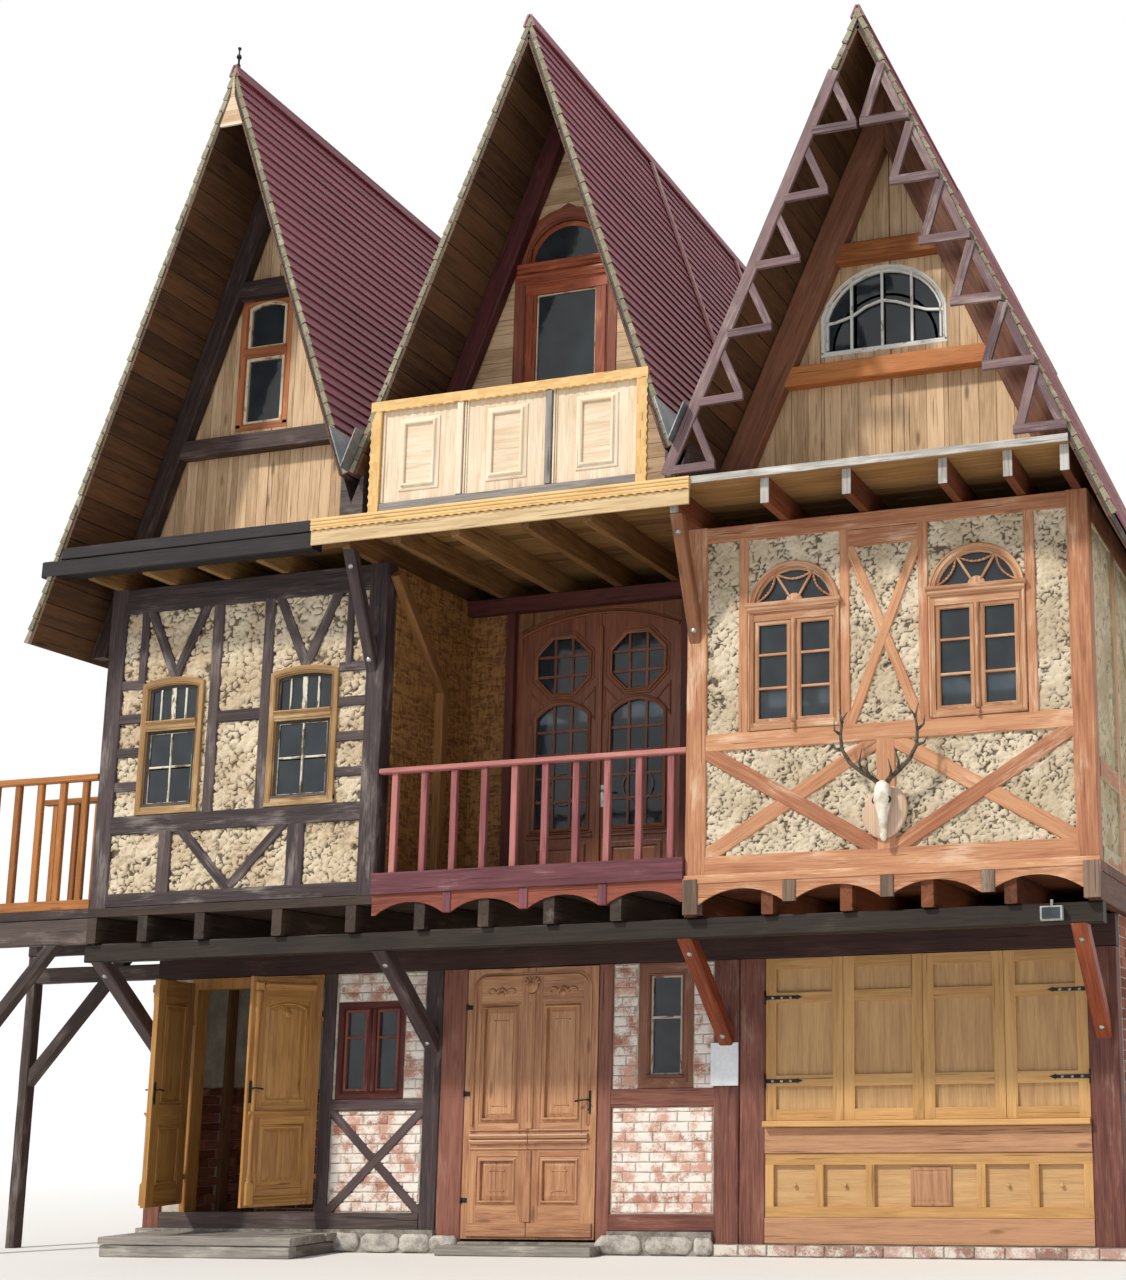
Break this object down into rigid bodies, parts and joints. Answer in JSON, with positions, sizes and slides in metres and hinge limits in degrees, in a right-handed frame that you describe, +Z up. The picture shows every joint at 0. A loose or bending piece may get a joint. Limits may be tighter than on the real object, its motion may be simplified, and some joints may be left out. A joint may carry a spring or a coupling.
{
  "type": "half timbered house",
  "caption": "Timber framed house with steep board roofs, zigzag bargeboards, an open loggia, a folding shutter stall and carved doors, jettied over its ground floor.",
  "frame": {"origin": "on the ground, in the middle of the ground floor's plan", "axes": "+X to the right seen from the street, +Y from the street front to the back, +Z up"},
  "size_m": [10.9472, 8.12, 10.9856],
  "materials": {
    "stone": "rough",
    "brick": "matt",
    "dark_timber": "weathered",
    "red_timber": "oiled",
    "orange_timber": "oiled",
    "honey_wood": "varnished",
    "pale_pine": "raw",
    "grey_timber": "weathered",
    "brown_boards": "oiled",
    "clay": "rough",
    "grey_clay": "rough",
    "ochre_paint": "worn paint",
    "tan_paint": "worn paint",
    "red_paint": "painted",
    "white_paint": "painted",
    "maroon_paint": "painted",
    "glass": "clear",
    "wine_boards": "painted",
    "mauve_laths": "weathered",
    "sheet_metal": "dull",
    "bone": "satin"
  },
  "bodies": {
    "house": {"plinth": "stone", "door_steps": "grey_timber", "ground_posts": "red_timber", "entrance_sill": "dark_timber", "entrance_frame": "honey_wood", "ground_frame_left": "dark_timber", "ground_frame_middle": "red_timber", "brick_panels": "brick", "ground_windows": "red_paint", "stall_shutters": "honey_wood", "stall_counter": "honey_wood", "front_plate": "red_timber", "ground_walls": "brick", "inner_wall": "brick", "jetty_joists": "dark_timber", "jetty_beam": "dark_timber", "knee_braces": "red_timber", "first_floor": "grey_timber", "left_bay_frame": "dark_timber", "left_bay_infill": "clay", "left_bay_windows": "ochre_paint", "right_bay_frame": "orange_timber", "right_bay_infill": "grey_clay", "right_bay_windows": "tan_paint", "right_bay_valance": "orange_timber", "trophy": "bone", "loggia_walls": "brown_boards", "loggia_doors": "brown_boards", "loggia_rail": "maroon_paint", "loggia_fascia": "maroon_paint", "first_walls": "grey_clay", "attic_joists": "brown_boards", "attic_deck": "grey_timber", "front_beam": "dark_timber", "deck_fascia": "pale_pine", "balcony_box": "pale_pine", "left_gable": "brown_boards", "middle_gable": "brown_boards", "right_gable": "brown_boards", "rear_gables": "brown_boards", "left_truss": "dark_timber", "middle_truss": "maroon_paint", "right_truss": "orange_timber", "left_gable_window": "tan_paint", "middle_gable_window": "tan_paint", "right_gable_window": "white_paint", "window_glass": "glass", "valley_plates": "dark_timber", "valley_gutters": "sheet_metal", "left_roof": "wine_boards", "middle_roof": "wine_boards", "right_roof": "wine_boards", "bargeboards": "mauve_laths", "finial": "pale_pine", "gallery": "dark_timber", "gallery_rail": "orange_timber", "rear_windows": "red_paint"},
    "left_leaf": {"entrance_leaf_left": "honey_wood"},
    "right_leaf": {"entrance_leaf_right": "honey_wood"},
    "middle_leaf": {"middle_door": "honey_wood"}
  },
  "joints": [
    {"name": "left_leaf_hinge", "type": "hinge", "parent": "house", "child": "left_leaf", "pos_m": [-4.145, -3.0275, 1.2], "axis": [0, 0, 1], "range_deg": [-12, 78]},
    {"name": "right_leaf_hinge", "type": "hinge", "parent": "house", "child": "right_leaf", "pos_m": [-2.76, -3.0275, 1.2], "axis": [0, 0, 1], "range_deg": [-62, 28]},
    {"name": "middle_leaf_hinge", "type": "hinge", "parent": "house", "child": "middle_leaf", "pos_m": [-1.305, -3.009, 1.2], "axis": [0, 0, -1], "range_deg": [0, 100]}
  ]
}
